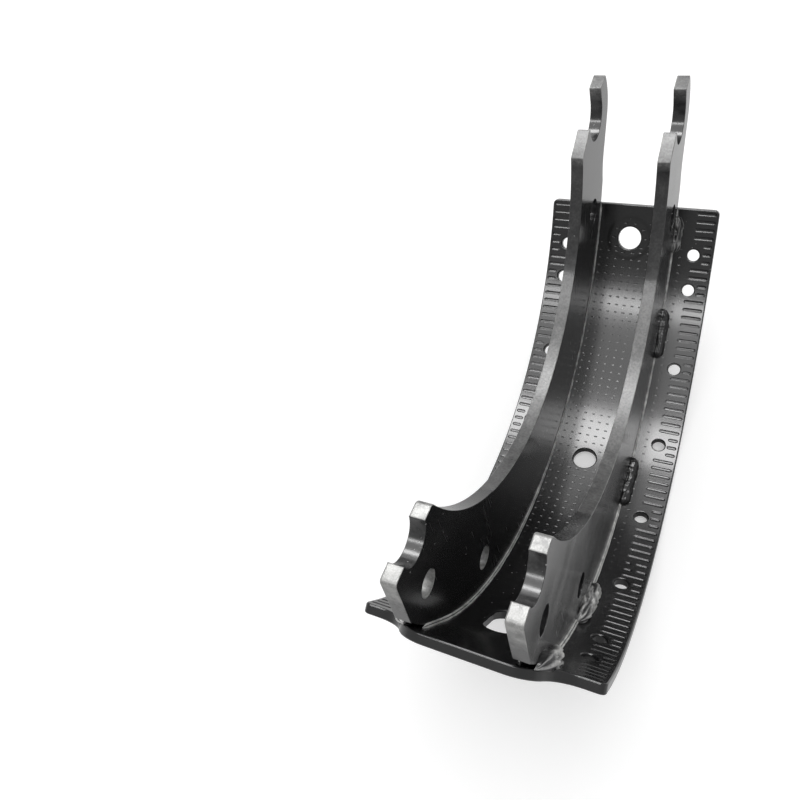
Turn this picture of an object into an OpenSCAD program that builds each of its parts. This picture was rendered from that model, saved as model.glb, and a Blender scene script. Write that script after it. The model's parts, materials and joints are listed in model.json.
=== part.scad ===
// Twin-web cam brake shoe, bare, without its lining.
// The curved table carries two profiled webs, and short fillet welds join them.
// Angles run round the drum axis from the shoe's lowest point: the anchor end is
// negative, on the -X side, and the roller end is positive, on the +X side.
// The origin is the axis of the anchor pin, halfway between the webs.

/* [Table] */
// Radius of the table's inner face, where the webs stand
table_r = 184; // [178:0.5:190]
// Thickness of the table plate
table_t = 5; // [4:0.5:8]
// Width of the table across the drum
table_w = 118; // [112:1:130]
// Angle at which the table ends on the anchor side
table_anchor_deg = 62.5; // [60:0.5:64]
// Angle at which the margins end on the roller side
table_roller_deg = 63.3; // [62:0.1:64]
// Angle from which the plate's roller end is left flat by the rolls
table_flat_deg = 59.5; // [58:0.5:61]
// Length of the tongue that runs on between the webs
tongue_len = 20; // [16:0.5:24]
// Half width of the table where the tongue's sweep starts
tongue_half_w = 50.5; // [48:0.5:54]
// Radius of both curves of the tongue's sweep
tongue_r = 18; // [14:0.5:20]
// Radius of the table's outer corners
corner_r = 3.5; // [2:0.5:6]

/* [Lining rivet holes] */
// Diameter of each rivet hole
rivet_d = 8.2; // [6:0.1:9]
// Distance of each row of rivets from the middle of the table
rivet_y = 45.6; // [44:0.1:48]
// Angle between neighbouring rivets
rivet_pitch_deg = 17.9; // [17:0.1:18.5]
// Angle from the last full pitch to the end rivet
rivet_end_deg = 7.75; // [6:0.25:9]

/* [Centre holes] */
// Diameter of the hole near the anchor end
hook_hole_d = 16.4; // [14:0.2:18]
// Angle of the hole near the anchor end
hook_hole_deg = -55; // [-56:0.5:-50]
// Diameter of the hole near the middle
sight_hole_d = 15.5; // [12:0.5:18]
// Angle of the hole near the middle
sight_hole_deg = -2.2; // [-6:0.2:6]
// Width of the slot near the roller end
slot_w = 16.2; // [12:0.2:18]
// Length of the slot, end to end
slot_len = 31; // [24:0.5:34]
// Angle of the slot's middle
slot_deg = 50; // [46:0.5:51]

/* [Grip marks] */
// Pitch of the marks rolled into both margins
mark_pitch = 5.65; // [5:0.05:8]
// Width of a mark
mark_w = 1.8; // [0.8:0.1:2]
// Depth of a mark
mark_depth = 0.5; // [0.4:0.1:1]
// Distance of a mark's inner end from the middle of the table
mark_from = 44; // [42:0.5:48]
// Plain rim left between the marks and the table's edge
mark_rim = 1.6; // [1:0.1:4]
// Plain metal left between a rivet hole and the marks beside it
mark_gap = 0.9; // [0.5:0.1:3]

/* [Webs] */
// Thickness of each web plate
web_t = 8; // [6:0.5:10]
// Clear space between the two webs
web_gap = 46; // [40:0.5:50]
// Depth of the web, from the table's inner face to the web's inner edge
web_depth = 59; // [54:0.5:64]
// Growth of the inner edge's radius where it opens out towards the roller end
web_open_growth = 25; // [15:1:35]
// Angle at which the inner edge starts to open out
web_open_deg = 23; // [18:0.5:26]

/* [Anchor end] */
// Diameter of the saddle that seats on the anchor pin
anchor_d = 31; // [28:0.2:33]
// Distance of the anchor pin's axis from the table's inner face
anchor_inset = 24; // [22:0.5:26]
// Angle of the anchor pin's axis
anchor_deg = -85.3; // [-87:0.1:-84]
// Radius of the hooked finger's back
hook_r = 29.5; // [28:0.25:31]
// Distance from the pin's axis to the centre of the hooked finger's back
hook_offset = 3; // [2:0.25:4]
// Length of the straight back of the hooked finger
hook_back_len = 24; // [20:0.5:26]
// Lean of that straight back from the horizontal
hook_back_deg = 60; // [57:0.5:62]
// Radius of the hollow between the hooked finger and the table
neck_r = 41; // [34:1:50]
// Lean of the inner finger's tip
inner_tip_deg = 25.4; // [20:0.2:30]
// Height of the inner finger's tip above the pin's axis, at the saddle
inner_tip_h = 2; // [1:0.25:4]
// Lean of the hooked finger's tip
hook_tip_deg = 11; // [8:0.5:22]
// Height of the hooked finger's tip above the pin's axis, at the saddle
hook_tip_h = 12.5; // [10:0.5:16]
// Lean of the hooked finger's inner flank from the vertical
flank_deg = 7; // [4:0.5:9]

/* [Roller end] */
// Diameter of the notch for the cam roller
roller_d = 22; // [20:0.2:24]
// Distance of the roller's axis from the table's inner face
roller_inset = 29.2; // [27:0.2:31]
// Angle of the roller's axis
roller_deg = 80.8; // [79:0.1:82]
// Height of the horns beside the notch below the roller's axis
horn_drop = 0.9; // [0:0.1:3]
// Radius of the outer horn's corner
outer_horn_r = 2.5; // [1.5:0.1:4]
// Radius of the inner horn's corner
inner_horn_r = 3; // [1.5:0.1:4]
// Distance from the roller's axis to the end cut, level with the horns
end_cut_x = 20; // [18:0.25:21]
// Lean of the end cut from the vertical
end_cut_deg = 3.3; // [2:0.1:5]

/* [Web holes] */
// Diameter of the return spring hole near the anchor end
anchor_hole_d = 18.6; // [16:0.2:20]
// Distance of that hole's axis from the table's inner face
anchor_hole_inset = 22.2; // [20:0.2:26]
// Angle of that hole
anchor_hole_deg = -61.3; // [-64:0.1:-58]
// Diameter of each of the two holes towards the roller end
roller_hole_d = 13.4; // [11:0.2:16]
// Distance of the end hole's axis from the table's inner face
end_hole_inset = 18; // [16:0.2:22]
// Angle of the end hole
end_hole_deg = 69.3; // [67:0.1:71]
// Distance of the inboard hole's axis from the table's inner face
inboard_hole_inset = 19.9; // [16:0.1:26]
// Angle of the inboard hole
inboard_hole_deg = 41.4; // [38:0.1:45]

/* [Welds] */
// Leg of the fillet welds
weld_leg = 6.5; // [5:0.1:8]
// Leg of the heavier weld at the roller end
end_weld_leg = 8; // [6:0.1:9]
// Length of the heavier weld, which lies on the flat of the table
end_weld_len = 26; // [18:0.5:28]

/* [Hidden] */
$fn = 96;
// Sides of the broad arcs round the drum axis
arc_sides = 720;

// Start and end angle of each weld on the rolled arc, from the anchor end on
weld_spans = [[-60.5, -54], [-39.5, -29], [-4, 6.5], [31, 41]];

// A cutter stands this far clear of what it cuts
over = 1;
// A round bites this far past the straight or the round that it runs into
bite = 0.03;
// Reach of the broad cutters, beyond every edge of the shoe
far = 400;
// Reach of the cutters at the webs' two ends
end_reach = table_r / 3;
table_outer_r = table_r + table_t;
web_inner_r = table_r - web_depth;
web_open_r = web_inner_r + web_open_growth;
web_out_y = web_gap / 2 + web_t;
// Angle that the tongue takes up beyond the margins
tongue_span_deg = atan(tongue_len / table_r);
paint = "#1b1b1c";
bare_edge = "#77777a";

// Point at a radius and an angle round the drum axis, in the web's plane
function on_arc(r, deg) = [r * sin(deg), -r * cos(deg)];
function unit(v) = v / norm(v);

anchor_at = on_arc(table_r - anchor_inset, anchor_deg);
roller_at = on_arc(table_r - roller_inset, roller_deg);

// Shifts the drum's frame to the anchor pin's axis
module from_pin() {
    translate([-anchor_at.x, 0, -anchor_at.y]) children();
}

// Turns a child drawn at the bottom of the arc round to an angle
module at_angle(deg) {
    rotate([0, -deg, 0]) children();
}

// Raises a flat outline in the web's plane into a plate from y_from to y_to
module plate(y_from, y_to) {
    translate([0, y_to, 0]) rotate([90, 0, 0]) linear_extrude(y_to - y_from) children();
}

// Pushes a flat outline, drawn along the arc and across it, out through the table
module through_table(deg, reach = 2 * over) {
    at_angle(deg)
        translate([0, 0, -table_outer_r - reach])
            linear_extrude(table_t + 2 * reach + over) children();
}

// What a convex corner loses when it is rounded: u and v run back along its two edges
module corner_waste(corner, u, v, r) {
    half = acos(u * v) / 2;
    centre = corner + unit(u + v) * r / sin(half);
    difference() {
        polygon([corner + u * r / tan(half), corner - (u + v) * over, corner + v * r / tan(half), centre]);
        translate(centre) circle(r);
    }
}

// Side view of all that lies above the rolled arc of a radius, down to the flat
// that the rolls leave at the plate's end
module above_arc(r) {
    intersection() {
        circle(r, $fn = arc_sides);
        polygon([[0, 0], on_arc(far, -90), on_arc(far, -30), on_arc(far, 30), on_arc(far, table_flat_deg)]);
    }
    rotate(table_flat_deg) translate([0, -r]) square([far / 4, r]);
}

// Side view of the table
module table_side() {
    intersection() {
        difference() {
            above_arc(table_outer_r);
            above_arc(table_r);
        }
        polygon([
            [0, 0], on_arc(far, -table_anchor_deg), on_arc(far, 0),
            on_arc(far, table_roller_deg + tongue_span_deg)
        ]);
    }
}
// Waste beside the tongue, from the end of one margin: along the arc and across it
module tongue_waste() {
    hollow = [tongue_r, tongue_half_w];
    drop = sqrt(pow(2 * tongue_r, 2) - pow(tongue_len - 2 * tongue_r, 2));
    round_end = [tongue_len - tongue_r, tongue_half_w - drop];
    joint = (hollow + round_end) / 2;
    clear_w = table_w / 2 + 4 * over;
    clear_len = tongue_len + 8 * over;
    difference() {
        polygon([
            [0, hollow.y], [0, clear_w], [clear_len, clear_w], [clear_len, round_end.y],
            round_end, joint, hollow
        ]);
        translate(round_end) circle(tongue_r);
    }
    intersection() {
        translate(hollow) circle(tongue_r);
        polygon([hollow, hollow - [2 * tongue_r, 0], hollow - [2 * tongue_r, 2 * tongue_r], joint]);
    }
}

// Angles of the eight rivet holes in a row
rivet_degs = [
    for (side = [-1, 1], step = [0.5, 1.5, 2.5]) side * step * rivet_pitch_deg,
    for (side = [-1, 1]) side * (2.5 * rivet_pitch_deg + rivet_end_deg)
];

// The marks fill the arc between the two square ends of the margins
mark_pitch_deg = mark_pitch / table_r * 180 / PI;
mark_half_count = floor((table_anchor_deg - mark_w / 3) / mark_pitch_deg);
function beside_rivet(deg) =
    min([for (rivet = rivet_degs) abs(deg - rivet)]) * table_r * PI / 180
        < (rivet_d + mark_w) / 2 + mark_gap;

module grip_mark(deg) {
    from = beside_rivet(deg) ? rivet_y + rivet_d / 2 + mark_gap : mark_from;
    at_angle(deg)
        translate([-mark_w / 2, from, -table_r - mark_depth])
            cube([mark_w, table_w / 2 - mark_rim - from, mark_depth + over]);
}

module table() {
    color(paint) from_pin() difference() {
        plate(-table_w / 2, table_w / 2) table_side();
        for (side = [0, 1]) mirror([0, side, 0]) {
            through_table(table_roller_deg) {
                tongue_waste();
                corner_waste([0, table_w / 2], [-1, 0], [0, -1], corner_r);
            }
            through_table(-table_anchor_deg) corner_waste([0, table_w / 2], [1, 0], [0, -1], corner_r);
            for (deg = rivet_degs) through_table(deg) translate([0, rivet_y]) circle(d = rivet_d);
            for (i = [-mark_half_count:mark_half_count]) grip_mark(i * mark_pitch_deg);
        }
        through_table(hook_hole_deg) circle(d = hook_hole_d);
        through_table(sight_hole_deg) circle(d = sight_hole_d);
        through_table(slot_deg) {
            square([slot_len - slot_w, slot_w], center = true);
            for (side = [-1, 1]) translate([side * (slot_len - slot_w) / 2, 0]) circle(d = slot_w);
        }
    }
}

// The hooked finger's back: a round, then a straight that runs down to the neck
hook_at = anchor_at - hook_offset * [cos(27), sin(27)];
hook_back_dir = [cos(hook_back_deg), -sin(hook_back_deg)];
hook_back_out = [-sin(hook_back_deg), -cos(hook_back_deg)];
hook_back_top = hook_at + (hook_r - bite) * hook_back_out;
hook_back_foot = hook_back_top + hook_back_len * hook_back_dir;
neck_at = hook_back_foot + (neck_r - bite) * hook_back_out;

// Ends of the two fingers at the saddle
anchor_r = anchor_d / 2;
inner_tip = anchor_at + [anchor_r + inner_tip_h * 0.9, inner_tip_h * 0.5];
flank_foot = anchor_at + anchor_r * [-cos(flank_deg), sin(flank_deg)];
hook_tip = flank_foot + (hook_tip_h - anchor_r * sin(flank_deg)) * [tan(flank_deg), 1];

// Everything above the two finger tips, and the mouth between them
module anchor_waste() {
    translate(anchor_at) circle(anchor_r);
    polygon([
        inner_tip + end_reach * [cos(inner_tip_deg), -sin(inner_tip_deg)],
        inner_tip,
        anchor_at + [anchor_r, 0],
        flank_foot,
        hook_tip,
        hook_tip - end_reach * [cos(hook_tip_deg), -sin(hook_tip_deg)],
        [hook_tip.x - end_reach, end_reach],
        [inner_tip.x + end_reach, end_reach]
    ]);
}

// Top of the horns, and the end cut that runs down from the outer horn
horn_z = roller_at.y - horn_drop;
end_cut_top = [roller_at.x + end_cut_x, horn_z];
end_cut_dir = [sin(end_cut_deg), -cos(end_cut_deg)];
// The opened-out edge first dips inside the inner edge, and crosses it at web_open_deg
open_offset = web_open_r - web_inner_r + bite;
open_dip_deg = 180 - acos((pow(open_offset, 2) + pow(web_inner_r, 2) - pow(web_open_r, 2))
    / (2 * open_offset * web_inner_r));
open_at = on_arc(-open_offset, web_open_deg - open_dip_deg);
// Where the opened-out inner edge meets the top of the inner horn
inner_horn_x = open_at.x + sqrt(pow(web_open_r, 2) - pow(horn_z - open_at.y, 2));
inner_horn = [inner_horn_x, horn_z];
inner_horn_dir = unit([horn_z - open_at.y, open_at.x - inner_horn_x]);

// Points round a corner of radius r, from the edge along u to the edge along v
function round_points(corner, u, v, r) =
    let (
        half = acos(u * v) / 2,
        centre = corner + unit(u + v) * r / sin(half),
        from = corner + u * r / tan(half) - centre,
        turn = (180 - 2 * half) * sign(u.y * v.x - u.x * v.y)
    )
    [for (i = [0:8]) let (a = turn * i / 8)
        centre + [from.x * cos(a) - from.y * sin(a), from.x * sin(a) + from.y * cos(a)]];

module roller_waste() {
    translate(roller_at) circle(d = roller_d);
    polygon(concat(
        [inner_horn + 2 * inner_horn_r * (inner_horn_dir - [1, 0])],
        round_points(inner_horn, inner_horn_dir, [1, 0], inner_horn_r),
        round_points(end_cut_top, [-1, 0], end_cut_dir, outer_horn_r),
        [end_cut_top + end_reach * end_cut_dir, [end_cut_top.x + end_reach, end_cut_top.y - end_reach]],
        [[end_cut_top.x + end_reach, end_reach], [inner_horn.x - web_depth, end_reach]],
        [[inner_horn.x - web_depth, inner_horn.y]]
    ));
}

module web_profile() {
    difference() {
        union() {
            intersection() {
                circle(table_r, $fn = arc_sides);
                polygon([
                    [0, 0], hook_back_foot - web_depth / 2 * hook_back_out,
                    hook_back_foot + end_reach * hook_back_out,
                    on_arc(far, -45), on_arc(far, 0), on_arc(far, 45), on_arc(far, 84)
                ]);
            }
            translate(hook_at) circle(hook_r);
            polygon([
                inner_tip + [web_depth / 2, 0], [inner_tip.x, hook_tip.y + web_t], hook_at,
                hook_back_top, hook_back_foot,
                on_arc(web_inner_r + web_depth / 2, -60), on_arc(web_inner_r - web_t, -60)
            ]);
        }
        circle(web_inner_r, $fn = arc_sides);
        intersection() {
            translate(open_at) circle(web_open_r, $fn = arc_sides);
            polygon([
                [0, 0], on_arc(far / 2, web_open_deg - open_dip_deg), on_arc(far / 2, 60), on_arc(far / 2, 100)
            ]);
        }
        translate(neck_at) circle(neck_r);
        anchor_waste();
        roller_waste();
        translate(on_arc(table_r - anchor_hole_inset, anchor_hole_deg)) circle(d = anchor_hole_d);
        translate(on_arc(table_r - end_hole_inset, end_hole_deg)) circle(d = roller_hole_d);
        translate(on_arc(table_r - inboard_hole_inset, inboard_hole_deg)) circle(d = roller_hole_d);
    }
}

module left_web() {
    color(bare_edge) from_pin() plate(-web_out_y, -web_gap / 2) web_profile();
}

module right_web() {
    color(bare_edge) from_pin() plate(web_gap / 2, web_out_y) web_profile();
}

// Section of a fillet weld: it bulges out of the corner that lies at the origin
module weld_section(leg) {
    intersection() {
        circle(leg);
        square(leg);
    }
}

// Fillet weld in the corner between the web's outer face and the rolled arc
module arc_weld(span, leg) {
    rotate([90, 0, 0]) rotate([0, 0, span[0] - 90])
        rotate_extrude(angle = span[1] - span[0], $fn = arc_sides)
            translate([table_r, -web_out_y]) mirror([1, 0]) mirror([0, 1]) weld_section(leg);
}

// The last fillet weld runs straight on, in the corner with the table's flat
module flat_weld(span_len, leg) {
    at_angle(table_flat_deg) translate([0, web_out_y, -table_r])
        rotate([90, 0, 90]) linear_extrude(span_len) weld_section(leg);
}

module right_weld(i) {
    color(paint) from_pin()
        if (i < len(weld_spans)) arc_weld(weld_spans[i], weld_leg);
        else flat_weld(end_weld_len, end_weld_leg);
}

module left_weld(i) {
    mirror([0, 1, 0]) right_weld(i);
}

table();
left_web();
right_web();
left_weld(0);  // left_weld_1
left_weld(1);  // left_weld_2
left_weld(2);  // left_weld_3
left_weld(3);  // left_weld_4
left_weld(4);  // left_weld_5
right_weld(0);  // right_weld_1
right_weld(1);  // right_weld_2
right_weld(2);  // right_weld_3
right_weld(3);  // right_weld_4
right_weld(4);  // right_weld_5
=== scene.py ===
# A bare twin-web brake shoe for a drum brake, lying on its curved table on a white studio floor.
import random
from math import atan2, cos, degrees, exp, pi, radians, sin, sqrt, tan

import bpy
from mathutils import Matrix, Vector, noise
from mathutils.geometry import delaunay_2d_cdt
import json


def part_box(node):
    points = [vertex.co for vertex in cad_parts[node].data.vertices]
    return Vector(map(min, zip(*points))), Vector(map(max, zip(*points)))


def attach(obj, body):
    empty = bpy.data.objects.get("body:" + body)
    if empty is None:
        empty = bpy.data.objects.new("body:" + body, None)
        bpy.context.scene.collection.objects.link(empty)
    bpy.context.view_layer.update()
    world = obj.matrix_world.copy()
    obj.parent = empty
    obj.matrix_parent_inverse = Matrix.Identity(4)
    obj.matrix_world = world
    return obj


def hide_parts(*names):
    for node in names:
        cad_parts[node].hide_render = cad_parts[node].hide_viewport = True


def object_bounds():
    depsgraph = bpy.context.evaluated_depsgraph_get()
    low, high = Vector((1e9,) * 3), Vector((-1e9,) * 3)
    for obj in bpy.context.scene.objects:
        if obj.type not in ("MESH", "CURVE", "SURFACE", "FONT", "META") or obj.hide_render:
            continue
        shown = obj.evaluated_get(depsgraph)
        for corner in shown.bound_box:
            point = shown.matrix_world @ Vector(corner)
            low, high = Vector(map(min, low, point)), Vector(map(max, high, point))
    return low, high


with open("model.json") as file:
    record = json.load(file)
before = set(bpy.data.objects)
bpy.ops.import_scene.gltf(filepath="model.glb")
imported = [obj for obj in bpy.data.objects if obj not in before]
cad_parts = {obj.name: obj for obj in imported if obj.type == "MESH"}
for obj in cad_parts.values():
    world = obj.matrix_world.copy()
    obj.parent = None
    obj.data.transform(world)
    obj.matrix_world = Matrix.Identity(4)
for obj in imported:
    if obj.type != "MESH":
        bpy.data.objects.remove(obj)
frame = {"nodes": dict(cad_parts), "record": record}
cad_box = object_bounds()


# Camera: above the roller end and to the right of it, looking down along the shoe. Its place,
# its aim, its lens and its shift are the ones that were fitted to the photograph.
def aimed(place, right, back):
    """The matrix of a camera or lamp at a place, from its right and the way behind it."""
    turned = Matrix((right, back.cross(right), back)).transposed()
    return Matrix.Translation(place) @ turned.to_4x4()


camera_data = bpy.data.cameras.new("camera")
camera_data.sensor_width = 36
camera_data.lens = 32.16
camera_data.shift_x = -0.0408
camera_data.shift_y = -0.0696
camera = bpy.data.objects.new("camera", camera_data)
bpy.context.scene.collection.objects.link(camera)
look = Vector((-0.581, -0.399, -0.709)).normalized()
upright = Vector((-0.721, -0.153, 0.677))
camera.matrix_world = aimed((0.4234, 0.0905, 0.2547), look.cross(upright).normalized(), -look)
bpy.context.scene.camera = camera
bpy.context.scene.view_settings.view_transform = "Standard"

# Floor: a flat white studio floor, wide enough to fill the view under the shoe. It takes a soft
# shadow, and glows a little, so that it is seen as white.
bpy.ops.mesh.primitive_plane_add(size=8, location=(0.16, 0, cad_box[0].z))
floor = bpy.context.object
floor.name = "floor"


class Shader:
    """One output socket of a node tree, with arithmetic written as it reads.

    Without a socket it stands for the tree, and only makes nodes.
    """

    def __init__(self, tree, socket=None):
        self.tree = tree
        self.socket = socket

    def node(self, kind, inputs=(), out=0, **settings):
        """A new node: first its settings, then its inputs, each a value or a shader."""
        made = self.tree.nodes.new(kind)
        for name, value in settings.items():
            setattr(made, name, value)
        for name, value in dict(inputs).items():
            if isinstance(value, Shader):
                value.feed(made, name)
            else:
                made.inputs[name].default_value = value
        return Shader(self.tree, made.outputs[out])

    def feed(self, node, name):
        """Links this output to an input of a node."""
        self.tree.links.new(self.socket, node.inputs[name])

    def math(self, operation, other):
        return self.node("ShaderNodeMath", {0: self, 1: other}, operation=operation)

    def __add__(self, other):
        return self.math("ADD", other)

    __radd__ = __add__

    def __mul__(self, other):
        return self.math("MULTIPLY", other)

    __rmul__ = __mul__

    def __sub__(self, other):
        return self.math("SUBTRACT", other)

    def __rsub__(self, other):
        return self * -1 + other

    def __lt__(self, other):
        return self.math("LESS_THAN", other)

    def __gt__(self, other):
        return self.math("GREATER_THAN", other)


camera_glow, mirrored_glow = 0.34, 0.02
floor_paint = bpy.data.materials.new("floor_white")
floor_paint.use_nodes = True
floor_bsdf = floor_paint.node_tree.nodes["Principled BSDF"]
floor_bsdf.inputs["Base Color"].default_value = (0.8, 0.8, 0.8, 1)
floor_bsdf.inputs["Roughness"].default_value = 0.9
floor_bsdf.inputs["Emission Strength"].default_value = 1
floor_shader = Shader(floor_paint.node_tree)
seen = floor_shader.node("ShaderNodeLightPath", out="Is Camera Ray")
mirrored = floor_shader.node("ShaderNodeLightPath", out="Is Glossy Ray")
(seen * camera_glow + mirrored * mirrored_glow).feed(floor_bsdf, "Emission Color")
floor.data.materials.append(floor_paint)

# Light: an even white studio, dimmer where a reflection sees it, and three soft boxes that only
# reflections see. They draw the bright bands on the enamel, and the studio lights the colours.
mirrored_loss = 0.4
world = bpy.data.worlds.new("studio")
bpy.context.scene.world = world
world.use_nodes = True
backdrop = world.node_tree.nodes["Background"]
backdrop.inputs["Color"].default_value = (1, 1, 1, 1)
mirrored = Shader(world.node_tree).node("ShaderNodeLightPath", out="Is Glossy Ray")
(1 - mirrored * mirrored_loss).feed(backdrop, "Strength")


def soft_box(name, over, back, distance, width, length, watts):
    """An area light at a distance from the point it is over; its length runs across the shoe."""
    data = bpy.data.lights.new(name, "AREA")
    data.shape = "RECTANGLE"
    data.size = width
    data.size_y = length
    data.energy = watts
    lamp = bpy.data.objects.new(name, data)
    bpy.context.scene.collection.objects.link(lamp)
    back = Vector(back).normalized()
    along = Vector((0, 1, 0)).cross(back).normalized()
    lamp.matrix_world = aimed(Vector(over) + back * distance, along, back)
    lamp.visible_diffuse = False


soft_box("box_over_anchor", (0.13, 0, -0.169), (-0.283, -0.173, 0.945), 1.5, 0.4, 1.6, watts=30)
soft_box("box_over_roller", (0.04, 0, -0.126), (0.567, -0.165, 0.808), 1.5, 0.16, 1.6, watts=11)
soft_box("box_overhead", (0.1, 0, -0.16), (-0.12, -0.17, 0.97), 1.6, 3.0, 1.8, watts=40)

# Table: one steel plate rolled to the drum's curve, but flat over the last stretch at the roller
# end, where it narrows in two sweeps to a tongue. Its margins carry rolled grip marks and rivet
# holes. Like the webs it is sheared from thick plate and painted in thick glossy black.

# Sizes are in millimetres, and mm is how many of them are in a metre. Angles are in degrees
# round the drum's axis, from the table's lowest line towards the roller end. On the table, u is
# the way round its inner face from that line, v is the way across it and n is the height off it.
mm = 1000
drum_axis = Vector((159.462, 0, 13.110))
table_low, table_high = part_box("table")
left_low, left_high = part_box("left_web")
table_r = -left_low.z * mm + drum_axis.z
table_t = (left_low.z - table_low.z) * mm
half_w = table_high.y * mm
anchor_deg, flat_deg, margin_deg = -62.5, 59.5, 63.3
tongue_len = 20.1
mark_pitch = 5.65


def u_at(deg):
    """How far round the table's inner face an angle is."""
    return radians(deg) * table_r


anchor_end = u_at(anchor_deg)
flat_from = u_at(flat_deg)
margin_end = flat_from + table_r * tan(radians(margin_deg - flat_deg))


def waver(x, y, z):
    """Smooth noise about nought, the same at every run."""
    return noise.noise(Vector((x, y, z)))


def arc(centre, radius, start, end, steps):
    """Points round a centre, from one angle to another, in degrees."""
    angles = [radians(start + (end - start) * i / steps) for i in range(steps + 1)]
    return [Vector(centre) + radius * Vector((cos(a), sin(a))) for a in angles]


def outward(loop):
    """Each point with the way out of the metal there, longer at corners to keep offsets even."""
    edge = []
    for before, at, after in zip(loop[-1:] + loop[:-1], loop, loop[1:] + loop[:1]):
        a, b = (at - before).normalized(), (after - at).normalized()
        out = Vector((a.y + b.y, -a.x - b.x)).normalized()
        edge.append((at, out / max(0.6, out.dot(Vector((a.y, -a.x))))))
    return edge


def solid(name, points, faces, bare, normals=None):
    """A smooth mesh that rides on the shoe, and how bare of paint it is at each of its points,
    which on the seams and two web holes also stands for a painted highlight.
    """
    mesh = bpy.data.meshes.new(name)
    mesh.from_pydata(points, [], faces)
    mesh.polygons.foreach_set("use_smooth", [True] * len(mesh.polygons))
    if normals:
        mesh.normals_split_custom_set_from_vertices(normals)
    mesh.attributes.new("bare", "FLOAT", "POINT").data.foreach_set("value", bare)
    made = bpy.data.objects.new(name, mesh)
    bpy.context.scene.collection.objects.link(made)
    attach(made, "root")
    return made


class Plate:
    """A plate as it is cut, marked and bent.

    place(u, v, n) gives a point of the bent plate and the directions along u, across v and up n.
    The upper face is at n = 0. Each rim gives the radius of the plate's edge at a flat spot.
    A loop is a list of flat spots, with the metal on its left.
    """

    # An edge that is as bare as this is barer still on its roundings.
    rubbed_from, rubbed_more = 0.3, 0.28

    def __init__(self, thickness, place, upper_rim, lower_rim):
        self.thickness = thickness
        self.place = place
        self.upper_rim = upper_rim
        self.lower_rim = lower_rim
        self.spots, self.points, self.normals, self.bare = [], [], [], []
        self.faces = []
        self.upper_rings, self.lower_rings = [], []

    def vertex(self, spot, depth, lean=0.0, out=Vector((0, 0)), bare=0.0):
        """A vertex under a flat spot. Its normal leans from straight up towards out."""
        at, along, across, up = self.place(spot.x, spot.y, -depth)
        sideways = along * out.x + across * out.y
        self.spots.append(spot)
        self.points.append(at / mm)
        self.normals.append((sin(lean) * sideways + cos(lean) * up).normalized())
        self.bare.append(bare)
        return len(self.points) - 1

    def rounding(self, spot, out, turn, below, bare):
        """A vertex of a rounded rim, where it has turned so far from a face to the wall."""
        rim = (self.lower_rim if below else self.upper_rim)(spot)
        down = rim * (1 - cos(turn))
        depth, lean = (self.thickness - down, pi - turn) if below else (down, turn)
        if turn == 0:
            bare = 0.0
        elif turn < pi / 2 and bare > self.rubbed_from:
            bare += self.rubbed_more
        return self.vertex(spot - out * rim * (1 - sin(turn)), depth, lean, out, bare)

    def bridge(self, above, below):
        """The faces between two rings of vertices."""
        for i in range(len(above)):
            j = (i + 1) % len(above)
            self.faces.append((above[i], below[i], below[j], above[j]))

    def cut(self, loop, bare=lambda spot: 0.0):
        """A sheared edge: a rounded rim above, the wall, and a rounded rim below."""
        edge = outward(loop)
        down = [step / 3 * pi / 2 for step in range(4)]
        rings = [
            [self.rounding(spot, out, turn, below, bare(spot)) for spot, out in edge]
            for turns, below in ((down, False), (down[::-1], True))
            for turn in turns
        ]
        for above, below in zip(rings, rings[1:]):
            self.bridge(above, below)
        self.upper_rings.append(rings[0])
        self.lower_rings.append(rings[-1])

    def dent(self, loop, depth, flank):
        """A mark pressed into the upper face. The loop is its lip, and flank its sides' width."""
        edge = outward(loop)
        slope_lean, foot_lean = 1.2 * depth / flank, 0.15
        lip = [self.vertex(spot, 0) for spot in loop]
        slope = [self.vertex(spot + out * flank * 0.5, depth * 0.5, slope_lean, out) for spot, out in edge]
        foot = [self.vertex(spot + out * flank, depth, foot_lean, out) for spot, out in edge]
        self.bridge(lip, slope)
        self.bridge(slope, foot)
        self.faces.append(tuple(reversed(foot)))
        self.upper_rings.append(lip)

    def fill(self, rings, depth, spots):
        """Triangles over one face, inside its first ring and clear of all the others."""
        flat, owner, loops = [], [], []
        for ring in rings:
            order = list(range(len(flat), len(flat) + len(ring)))
            loops.append(order[::-1] if loops else order)
            flat += [self.spots[i] for i in ring]
            owner += ring
        flat += spots
        owner += [None] * len(spots)
        whole_hull, merged_within = 0, 1e-4
        places, _, triangles, sources, _, inside = delaunay_2d_cdt(
            flat, [], loops, whole_hull, merged_within
        )
        ids = {}
        for triangle, covering in zip(triangles, inside):
            if list(covering) != [0]:
                continue
            corners = []
            for corner in triangle:
                if corner not in ids:
                    known = [owner[s] for s in sources[corner] if owner[s] is not None]
                    lean = pi if depth else 0.0
                    ids[corner] = known[0] if known else self.vertex(places[corner], depth, lean)
                corners.append(ids[corner])
            self.faces.append(tuple(reversed(corners)) if depth else tuple(corners))

    def build(self, name, spots):
        """The finished plate, with both of its faces filled over spots that follow the bend."""
        self.fill(self.upper_rings, 0.0, spots)
        self.fill(self.lower_rings, self.thickness, spots)
        return solid(name, self.points, self.faces, self.bare, self.normals)


def roll(u, v, n):
    """A point of the rolled table, and the directions along it, across it and up from it."""
    turn = min(u, flat_from) / table_r
    along, across = Vector((cos(turn), 0, sin(turn))), Vector((0, 1, 0))
    up = Vector((-sin(turn), 0, cos(turn)))
    at = drum_axis - up * (table_r - n) + along * max(0.0, u - flat_from) + across * v
    return at, along, across, up


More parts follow.
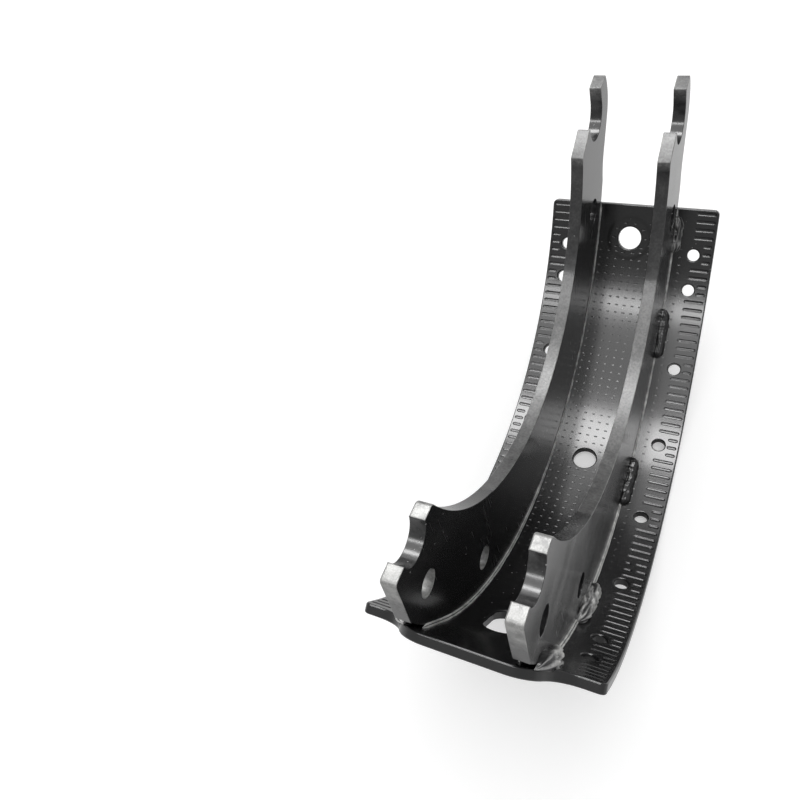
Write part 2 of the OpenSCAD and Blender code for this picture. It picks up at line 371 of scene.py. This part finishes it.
# The outline's right half, from the tongue's tip through both sweeps to the anchor end.
sweep_r, sweep_y = 18, 50.5
sweep_drop = sqrt(4 * sweep_r**2 - (tongue_len - 2 * sweep_r) ** 2)
sweep_turn = degrees(atan2(sweep_drop, 2 * sweep_r - tongue_len))
sweep_steps, corner_steps, corner_r = 14, 6, 3.5
side_start, side_step, side_spare = margin_end - 8, 6, 14
side_points = int((margin_end - anchor_end - side_spare) / side_step)
side = (
    arc((margin_end + tongue_len - sweep_r, sweep_y - sweep_drop), sweep_r, 0, sweep_turn, sweep_steps)
    + arc((margin_end + sweep_r, sweep_y), sweep_r, 180 + sweep_turn, 180, sweep_steps)[1:]
    + arc((margin_end - corner_r, half_w - corner_r), corner_r, 0, 90, corner_steps)
    + [Vector((side_start - side_step * i, half_w)) for i in range(side_points)]
    + arc((anchor_end + corner_r, half_w - corner_r), corner_r, 90, 180, corner_steps)
)
outline = side + [Vector((spot.x, -spot.y)) for spot in reversed(side)]
table_rim = 0.9
table = Plate(table_t, roll, lambda spot: table_rim, lambda spot: table_rim)
table.cut(outline)

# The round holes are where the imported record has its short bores.
holes = []
mounts = frame["record"]["mounts"]
for mount in mounts:
    at = Vector(mount["pos_m"]) * mm - drum_axis
    if mount["kind"] == "bore" and mount["dims"]["length_mm"] < 2 * table_t:
        holes.append((Vector((atan2(at.x, -at.z) * table_r, at.y)), mount["dims"]["r_mm"]))
hole_points = 24
for centre, radius in holes:
    table.cut(arc(centre, radius, 0, 360 / hole_points - 360, hole_points - 1))
slot_deg, slot_r, slot_reach, slot_clear = 50, 8.1, Vector((7.4, 0)), 18
slot = Vector((u_at(slot_deg), 0))
table.cut(arc(slot + slot_reach, slot_r, 90, -90, 12) + arc(slot - slot_reach, slot_r, -90, -270, 12))


def clear(spot, margin):
    """Whether a spot of the table is well off the slot and keeps this margin from every hole."""
    to_hole = min((spot - centre).length - radius for centre, radius in holes)
    return to_hole >= margin and (spot - slot).length >= slot_clear


def capsule(centre, half_length, half_width, lean=0.0):
    """A long mark's lip, with its length across the table but for its lean."""
    reach = Vector((0, half_length - half_width))
    loop = arc(centre + reach, half_width, 180, 0, 4) + arc(centre - reach, half_width, 0, -180, 4)
    turn = Matrix.Rotation(lean, 2)
    return [centre + turn @ (spot - centre) for spot in loop]


# Each grip mark is a flat-bottomed groove across a margin. Its ends and its depth waver, it
# stops short of a rivet hole, and on the right two were rolled over and broke in two.
marks_each_way, broken_marks = 35, (12, 13)
mark_half_w, mark_depth, mark_flank = 1.35, 0.5, 0.8
mark_start, edge_gap, hole_gap, half_break = 43.8, 1.3, 1.2, 0.8
margin_from = 40
for side_of in (-1, 1):
    for i in range(-marks_each_way, marks_each_way + 1):
        u = i * mark_pitch
        start = mark_start + 0.5 * abs(waver(i * 1.3, side_of, 9))
        for centre, radius in holes:
            beside = abs(centre.x - u) < radius + mark_half_w + hole_gap
            if beside and centre.y * side_of > margin_from:
                start = centre.y * side_of + radius + hole_gap
        end = half_w - edge_gap - 0.3 * abs(waver(i * 1.7, side_of, 5))
        deep = mark_depth + 0.1 * waver(i * 0.37, side_of * 3.1, 0)
        if side_of > 0 and i in broken_marks:
            middle = start + (0.35 + 0.1 * (i % 2)) * (end - start)
            reach = (middle - half_break - start) / 2
            stub_at = Vector((u + 0.3, side_of * (start + reach)))
            table.dent(capsule(stub_at, reach, mark_half_w * 0.85), deep * 0.9, 0.7)
            start = middle + half_break
        centre = Vector((u, side_of * (start + end) / 2))
        lean = 0.01 * waver(i * 0.9, side_of, 2)
        table.dent(capsule(centre, (end - start) / 2, mark_half_w, lean), deep, mark_flank)


def band(deg, middle, half, fading):
    """How strong a band of dashes is at an angle, from 1 at its middle to 0 half its width off."""
    return max(0.0, 1 - abs(deg - middle) / half) ** fading


# The rolls also left rows of small dashes over the table's middle and beside the webs, strong
# in two bands and faint between them.
web_strip, dash_reach, column_offset, hole_clear = (21.5, 33.5), 42.2, -2.4, 2.4
faintest_row, faintest_dash = 0.15, 0.12
for row in range(-33, 30):
    u = (row + 0.5) * mark_pitch
    deg = degrees(u / table_r)
    strength = band(deg, -42, 13, 0.4) + band(deg, 6, 36, 0.3)
    if strength < faintest_row:
        continue
    for column in range(-8, 8):
        v = column_offset + mark_pitch * column
        spot = Vector((u, v))
        under_web = web_strip[0] < abs(v) < web_strip[1]
        if under_web or abs(v) > dash_reach or not clear(spot, hole_clear):
            continue
        past_web = 0.5 if abs(v) > web_strip[1] else 1
        faded = min(1, strength) * past_web * (0.85 + 0.35 * waver(u, v, 2))
        if faded > faintest_dash:
            table.dent(capsule(spot, 1.0 + 0.3 * faded, 0.55), 0.2 * faded, 0.46)

# Ten short strokes were punched round the hole at the anchor end.
hook_spot = Vector((u_at(-55), 0))
hook_hole = min((centre for centre, _ in holes), key=lambda centre: (centre - hook_spot).length)
strokes, first_stroke, stroke_ring_r = 10, 18, 11.3
for i in range(strokes):
    a = radians(first_stroke + 360 / strokes * i)
    spot = hook_hole + stroke_ring_r * Vector((cos(a), sin(a)))
    table.dent(capsule(spot, 1.4, 0.5), 0.3, 0.35)


def tint(level, blue=None):
    """A grey as a colour, or nearly a grey, with its own level of blue."""
    return (level, level, level if blue is None else blue, 1)


def enamel(piece, gloss, grey=0.085, steel=0.24, scratched=0.0, painted_sheen=0.0, ring_at=None):
    """Black enamel, thinned to grey or worn off to steel where the piece is bare.

    gloss is the enamel's roughness, and grey and steel say how light the thin paint and the
    steel are. scratched says how strong its scratches are, and the argument after it how strong
    a painted reflection is on the face towards +Y, a grey haze with a dusty grain. ring_at is
    the middle of a dark ring.
    """
    paint = bpy.data.materials.new("enamel_" + piece.name)
    paint.use_nodes = True
    bsdf = paint.node_tree.nodes["Principled BSDF"]
    shader = Shader(paint.node_tree)
    place = shader.node("ShaderNodeTexCoord", out="Object")
    # The bare attribute is wear. On the seams and on the left web's two holes at the roller end it also
    # carries a painted highlight, and in the seams' groove a painted shade.
    worn = shader.node("ShaderNodeAttribute", out="Fac", attribute_name="bare")

    def grain(scale, detail=2.0, at=place):
        """Soft noise from 0 to 1, finer as its scale goes up."""
        return shader.node("ShaderNodeTexNoise", {"Vector": at, "Scale": scale, "Detail": detail})

    def rise(value, low, high):
        """From 0 where the value is low, or lower, to 1 where it is high."""
        inputs = {"Value": value, "From Min": low, "From Max": high}
        return shader.node("ShaderNodeMapRange", inputs, clamp=True)

    def blend(factor, a, b):
        """From one colour to another. The Mix node's colours are its sockets 6 and 7."""
        return shader.node("ShaderNodeMix", {0: factor, 6: a, 7: b}, out=2, data_type="RGBA")

    # The enamel's soft runs and its peel, and the patches and the fine grain of worn metal.
    runs, peel, patches, fine = grain(38, 3), grain(330), grain(160, 4), grain(1500)
    rubbed = worn * (0.3 + patches * 1.4)
    thin, bare = rise(rubbed, 0.1, 0.46), rise(rubbed, 0.5, 0.82)
    mottled = rise(grain(700, 3), 0.35, 0.65)
    mottled = blend(mottled, tint(grey * 0.65, grey * 0.64), tint(grey * 1.3, grey * 1.29))
    colour = blend(thin, tint(0.012, 0.0125), mottled)
    brushed = rise(fine * 0.4 + patches * 0.6, 0.38, 0.62)
    metal = blend(brushed, tint(steel * 0.7, steel * 0.69), tint(steel * 1.2, steel * 1.17))
    colour = blend(bare, colour, metal)

    # Specks of dust lie on it in patches.
    specks = shader.node("ShaderNodeTexVoronoi", {"Vector": place, "Scale": 210})
    dust = (specks < 0.075) * (grain(21) > 0.56)
    colour = blend(dust * 0.8, colour, tint(0.3))
    rough = gloss + runs * 0.06 + thin * 0.16 + bare * 0.12

    if scratched:
        upright = {"Vector": place, "Rotation": (0, 0.2, 0), "Scale": (1, 1, 0.03)}
        stretched = shader.node("ShaderNodeMapping", upright)
        lines = (grain(900, 1, stretched) > 0.72) * (grain(30) > 0.56)
        colour = blend(lines * scratched, colour, tint(0.11))
        rough = rough + lines * 0.1
    if painted_sheen:
        # Painted reflection: a grey haze with a dusty grain on the face towards +Y, from a little past
        # the middle to the roller end, that stands in for the bright room seen in that face.
        normal = shader.node("ShaderNodeTexCoord", out="Normal")
        facing = shader.node("ShaderNodeSeparateXYZ", {"Vector": normal}, out="Y")
        along = shader.node("ShaderNodeSeparateXYZ", {"Vector": place}, out="X")
        wiped = shader.node("ShaderNodeMapping", {"Vector": place, "Scale": (0.4, 1, 1)})
        sheen_mask = rise(along, 0.17, 0.26) * rise(facing, 0.6, 0.95)
        sheen_mask = sheen_mask * rise(grain(60, 4, wiped), 0.15, 0.85) * painted_sheen
        colour = blend(sheen_mask, colour, tint(0.2))
        rough = rough + sheen_mask * 0.2
    if ring_at:
        from_middle = {0: place, 1: ring_at}
        away = shader.node("ShaderNodeVectorMath", from_middle, out="Value", operation="DISTANCE")
        ring = rise(away, 0.0132, 0.0142) * rise(away, 0.0168, 0.0156)
        colour = blend(ring, colour, tint(0.002))
        rough = rough - ring * 0.08

    height = runs * 0.3 + peel * 0.0015 + fine * thin * 0.3 + patches * thin * 0.3 + dust * 0.06
    bump = shader.node("ShaderNodeBump", {"Height": height, "Strength": 0.6, "Distance": 0.0004})
    colour.feed(bsdf, "Base Color")
    rough.feed(bsdf, "Roughness")
    (bare * 0.35).feed(bsdf, "Metallic")
    bump.feed(bsdf, "Normal")
    bsdf.inputs["IOR"].default_value = 1.5
    piece.data.materials.append(paint)


# Inner points every few millimetres let the table's faces follow the roll. The tongue is
# narrower than the rest, and points beside it would fall off the plate.
along_step, across_step, across_reach, tongue_half_w = 4, 8, 56, 33
first_along, tongue_from = anchor_end + 3, margin_end - 2
bend_spots = [
    Vector((first_along + along_step * i, v))
    for i in range(int((margin_end - anchor_end + 14) / along_step))
    for v in range(-across_reach, across_reach + 1, across_step)
]
inside = [spot for spot in bend_spots if spot.x < tongue_from or abs(spot.y) < tongue_half_w]
table_piece = table.build("rolled_table", inside)
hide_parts("table")
enamel(table_piece, 0.16, ring_at=roll(hook_hole.x, hook_hole.y, 0)[0] / mm)

# Webs: two plates of the same outline, sheared from thick steel and stood on edge on the table.
# The shears rolled the roller tips' edge over on the -Y side, and the tips are scuffed to metal.
right_low, right_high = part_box("right_web")
web_t = (right_high.y - right_low.y) * mm
web_in, web_out = right_low.y * mm, right_high.y * mm


def outlines(node, y):
    """The closed outlines of a node's flat face at y, in millimetres, the broadest first.

    Corners are told apart on a grid of a hundredth of a millimetre.
    """
    on_face, grid, closest = 1e-6, 1e5, 0.12
    mesh = frame["nodes"][node].data
    following = {}
    for face in mesh.polygons:
        if all(abs(mesh.vertices[v].co.y - y) < on_face for v in face.vertices):
            corners = [tuple(round(c * grid) for c in mesh.vertices[v].co) for v in face.vertices]
            for a, b in zip(corners, corners[1:] + corners[:1]):
                if following.get(b) and a in following[b]:
                    following[b].remove(a)
                else:
                    following.setdefault(a, []).append(b)
    loops = []
    while any(following.values()):
        at = next(corner for corner, after in following.items() if after)
        loop = []
        while following.get(at):
            at = following[at].pop()
            loop.append(Vector((at[0] * mm / grid, at[2] * mm / grid)))
        kept = [loop[0]]
        for spot in loop[1:]:
            if (spot - kept[-1]).length > closest:
                kept.append(spot)
        area = sum(a.x * b.y - b.x * a.y for a, b in zip(kept, kept[1:] + kept[:1]))
        loops.append((area, kept))
    loops.sort(key=lambda item: -abs(item[0]))
    return [kept if (area > 0) == (index == 0) else kept[::-1] for index, (area, kept) in enumerate(loops)]


def eased(loop, radius, sharp=0.35):
    """The loop with a small round in place of each corner that turns by more than sharp."""
    made = []
    for before, at, after in zip(loop[-1:] + loop[:-1], loop, loop[1:] + loop[:1]):
        a, b = at - before, after - at
        turn = abs(a.angle(b))
        if turn < sharp:
            made.append(at)
            continue
        back = min(radius * tan(turn / 2), 0.45 * a.length, 0.45 * b.length)
        start, end = at - a.normalized() * back, at + b.normalized() * back
        for t in (0, 0.3, 0.7, 1):
            made.append(start * (1 - t) ** 2 + at * 2 * t * (1 - t) + end * t * t)
    return made


saddle = next(mount for mount in mounts if mount["name"] == "anchor_saddle")
notch = next(mount for mount in mounts if mount["name"] == "roller_notch")
saddle_r, notch_r = saddle["dims"]["r_mm"], notch["dims"]["r_mm"]
notch_at = Vector(notch["pos_m"]).xz * mm
anchor_tip_deg, roller_tip_deg, inner_arc_r = -75, 76, table_r - 38


def edge_wear(spot):
    """How bare a web's edge is: scuffed on the tips and horns, thin along the inside."""
    spoke = spot - drum_axis.xz
    deg = degrees(atan2(spoke.x, -spoke.y))
    if deg > roller_tip_deg:
        if (spot - notch_at).length < notch_r + 0.3:
            return 0.17
        return 0.9 if spot.y > notch_at.y - 4 else 0.62
    if deg < anchor_tip_deg:
        on_hook = spot.x < 0 and spot.y > 11
        on_inner_tip = saddle_r + 0.3 < spot.x < 38 and spot.y > -11
        return 0.46 if on_hook or on_inner_tip else 0.1
    if spoke.length < inner_arc_r:
        return 0.42 if -43 < deg < 40 else 0.16
    return 0.0


# Each web's node, its face towards -Y, how strong its scratches are, and how strong the painted
# reflection on its face towards +Y is.
webs = (("left_web", left_low.y, 0.15, 0.0), ("right_web", right_low.y, 0.7, 0.6))
corner_round, sheared_rim, rolled_more, sharp_rim = 1.1, 0.45, 0.6, 0.4


def rolled_rim(spot):
    """The edge's radius on a web's -Y face, which is larger on the roller tips."""
    return sheared_rim + rolled_more * (edge_wear(spot) > 0.6)


for node, y_low, scratched, painted_sheen in webs:

    def stand(u, v, n, y_low=y_low):
        """The web on edge, with u along the shoe, v upwards, and its upper face towards -Y."""
        return Vector((u, y_low * mm - n, v)), Vector((1, 0, 0)), Vector((0, 0, 1)), Vector((0, -1, 0))

    rim, *web_holes = outlines(node, y_low)
    web = Plate(web_t, stand, rolled_rim, lambda spot: sharp_rim)
    web.cut(eased(rim, corner_round), edge_wear)
    for hole in web_holes:
        middle = sum(hole, Vector((0, 0))) / len(hole)
        rubbed = node == "left_web" and middle.x > drum_axis.x

        def hole_wear_and_highlight(spot, rubbed=rubbed, middle=middle):
            """How bare a hole is: the left web's two at the roller end are bare below, partly from wear
            and partly as a painted highlight on the lower wall, which faces up.
            """
            return 0.75 * (rubbed and spot.y < middle.y)

        web.cut(eased(hole, corner_round), hole_wear_and_highlight)
    piece = web.build(node + "_plate", [])
    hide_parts(node)
    enamel(piece, 0.16, scratched=scratched, painted_sheen=painted_sheen)


# Welds: five hand-laid steel fillets on the outer side of each web hold it to the table. The
# first three lie dark under the enamel, and the last two are broad, drawn out and nearly bare.
def swept(name, rings):
    """A closed mesh through rings of points in millimetres, each with how bare its points are."""
    points = [p / mm for ring, _ in rings for p in ring]
    row = len(rings[0][0])
    faces = [
        (i * row + j, i * row + (j + 1) % row, (i + 1) * row + (j + 1) % row, (i + 1) * row + j)
        for i in range(len(rings) - 1)
        for j in range(row)
    ]
    faces += [tuple(range(row))[::-1], tuple((len(rings) - 1) * row + j for j in range(row))]
    return solid(name, points, faces, [bare for _, wear in rings for bare in wear])


def corner_ring(u, y, out_y, reach, wear):
    """Points round the corner between the table and a web's face, and how bare each of them is.

    The face is at y and looks to out_y. reach and wear are functions of the angle up from the
    table. The ring's own corner is sunk into the steel.
    """
    at, along, across, up = roll(u, y, 0)
    out = Vector((0, out_y, 0))
    spread, sunk_out, sunk_up = 18, 0.3, 0.15
    angles = [j / spread * pi / 2 for j in range(spread + 1)]
    ring = [at - out * sunk_out - up * sunk_up]
    ring += [at + (out * cos(a) + up * sin(a)) * reach(a) for a in angles]
    worn = [wear(pi / 4)] + [wear(a) for a in angles]
    return (ring, worn) if out_y > 0 else (ring[::-1], worn[::-1])


bead_step = 0.3


def bead(name, start, end, y, out_y, leg, drawn, bare, seed):
    """A fillet weld between two angles, in the corner at y that opens to out_y.

    leg is its height. drawn is how far its ripples are drawn out into folds, from 0 to 1, and
    bare is how bare the folds' crests are.
    """
    first, length = u_at(start), u_at(end) - u_at(start)

    def fold(s, a):
        """How near a place is to a fold's crest, s along the weld and at an angle up."""
        return max(0.0, 1 - 2.6 * abs(waver(s * 0.08 + a * 0.8, a * 3.6, seed)))

    def height(s, a):
        """How far the weld reaches out of the corner there."""
        edge = max(0.0, 1 - s / leg, 1 - (length - s) / leg)
        taper = 0.06 + 0.94 * sqrt(max(0.0, 1 - edge**2))
        swell = 1 + 0.12 * waver(s * 0.22, seed, 7)
        shape = 0.82 + 0.1 * sin(2 * a) ** 2 - 0.16 * drawn
        ripple = 0.012 * sin(2 * pi * (s / 2.3 + 0.5 * cos(2 * a)) + 2 * waver(s * 0.4, seed, 0))
        folds = (0.05 + 0.15 * drawn) * (fold(s, a) - 0.5 * (1 - drawn))
        lumps = 0.06 * waver(s * 0.4, a * 2, seed + 3)
        fine = 0.01 * waver(s * 1.4, a * 8, seed)
        return leg * taper * min(0.99, swell * shape + ripple * (1 - drawn) + folds + lumps + fine)

    def ring(s):
        """The weld's ring of points there."""
        return corner_ring(
            first + s, y, out_y, lambda a: height(s, a), lambda a: bare * (0.1 + 1.3 * fold(s, a))
        )

    steps = int(length / bead_step)
    return swept(name, [ring(length * i / steps) for i in range(steps + 1)])


# Each weld's start and end in degrees, its leg, how drawn out it is, and how bare, from the
# anchor end to the roller end.
weld_runs = (
    (-60.8, -52.6, 7.0, 0.5, 0.3),
    (-40, -28.6, 6.6, 0.2, 0.0),
    (-4.6, 7.2, 6.8, 0.3, 0.0),
    (29.6, 42, 7.8, 1.0, 0.66),
    (57.5, 68.2, 8.6, 1.0, 0.7),
)
for out_y, word, y in ((-1, "left", left_low.y * mm), (1, "right", web_out)):
    for number, (start, end, leg, drawn, bare) in enumerate(weld_runs, 1):
        seed = number * 7.3 + 40 * out_y
        piece = bead(f"{word}_bead_{number}", start, end, y, out_y, leg, drawn, bare, seed)
        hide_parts(f"{word}_weld_{number}")
        enamel(piece, 0.26, grey=0.2, steel=0.42)


# Seams: enamel ran into each corner between web and table and dried there as a thin double
# ridge, thicker towards the roller end. Its ridges are painted light grey to steel as a painted
# highlight, brighter towards the roller end, and the groove between them is painted dark as
# painted shade of the gap under the web.
seam_first, seam_last, seam_step = anchor_end + 0.5, margin_end + 11, 0.8
seam_steps = int((seam_last - seam_first) / seam_step)


def groove_and_shade(a):
    """The groove between a seam's two ridges, deepest half way up, where the seam is also painted
    dark as painted shade.
    """
    return exp(-(((a - pi / 4) / 0.2) ** 2))


def seam_ring(i, y, out_y):
    """A seam's ring of points at one of its steps, thin at both ends."""
    u = seam_first + (seam_last - seam_first) * i / seam_steps
    late = 1 / (1 + exp((40 - u) / 25))
    size = 0.95 + 0.85 * late + 0.25 * waver(u * 0.09, y, 4)
    size *= 0.25 + 0.75 * min(1, i / 4, (seam_steps - i) / 4)
    # Painted highlight: how light the seam's ridges are painted, brighter towards the roller end.
    ridge_highlight = 0.56 + 0.3 * late + 0.25 * waver(u * 0.2, y, 8)

    def reach(a):
        return size * (0.85 - 0.5 * groove_and_shade(a) + 0.12 * waver(u * 0.5, a * 2, y))

    return corner_ring(u, y, out_y, reach, lambda a: ridge_highlight * (1 - 0.9 * groove_and_shade(a)))


for name, y, out_y in (
    ("left_inner_seam", left_high.y * mm, 1),
    ("left_outer_seam", left_low.y * mm, -1),
    ("right_inner_seam", web_in, -1),
    ("right_outer_seam", web_out, 1),
):
    piece = swept(name, [seam_ring(i, y, out_y) for i in range(seam_steps + 1)])
    # The seams' light grey and steel are a painted highlight.
    enamel(piece, 0.24, grey=0.36, steel=0.6)

# Spatter: small drops of steel that the arc threw off. They froze on the table's face, most of
# them beside the welds, and were painted over with it.
tries, drop_sides, drop_rings = 60, 8, 4
spatter_reach, spatter_end_gap, spatter_hole_gap = 56, 4, 1.5
spatter_random = random.Random(11)
points, faces = [], []
for _ in range(tries):
    start, end = weld_runs[spatter_random.choice((0, 1, 2, 3, 3, 4, 4))][:2]
    deg = spatter_random.gauss((start + end) / 2, 9)
    v = spatter_random.choice((-1, 1)) * (web_out + 2 + abs(spatter_random.gauss(0, 9)))
    if spatter_random.random() < 0.3:
        v = spatter_random.uniform(-20, 20)
    spot = Vector((u_at(deg), v))
    on_table = anchor_end + spatter_end_gap < spot.x < margin_end - spatter_end_gap
    if abs(v) > spatter_reach or not on_table or not clear(spot, spatter_hole_gap):
        continue
    at, along, across, up = roll(spot.x, spot.y, 0)
    size = 0.22 + 0.55 * spatter_random.random() ** 3
    first = len(points)
    for ring in range(drop_rings):
        a = ring / 3.4 * pi / 2
        for k in range(drop_sides):
            b = 2 * pi * k / drop_sides
            flat = along * cos(b) * 1.15 + across * sin(b)
            points.append((at + flat * size * cos(a) + up * (size * 0.8 * sin(a) - 0.05)) / mm)
    for ring in range(drop_rings - 1):
        low, high = first + ring * drop_sides, first + (ring + 1) * drop_sides
        for k in range(drop_sides):
            after = (k + 1) % drop_sides
            faces.append((low + k, low + after, high + after, high + k))
    faces.append(tuple(range(len(points) - drop_sides, len(points))))
    faces.append(tuple(range(first, first + drop_sides))[::-1])
spatter = solid("spatter", points, faces, [0.12] * len(points))
enamel(spatter, 0.2, grey=0.24)
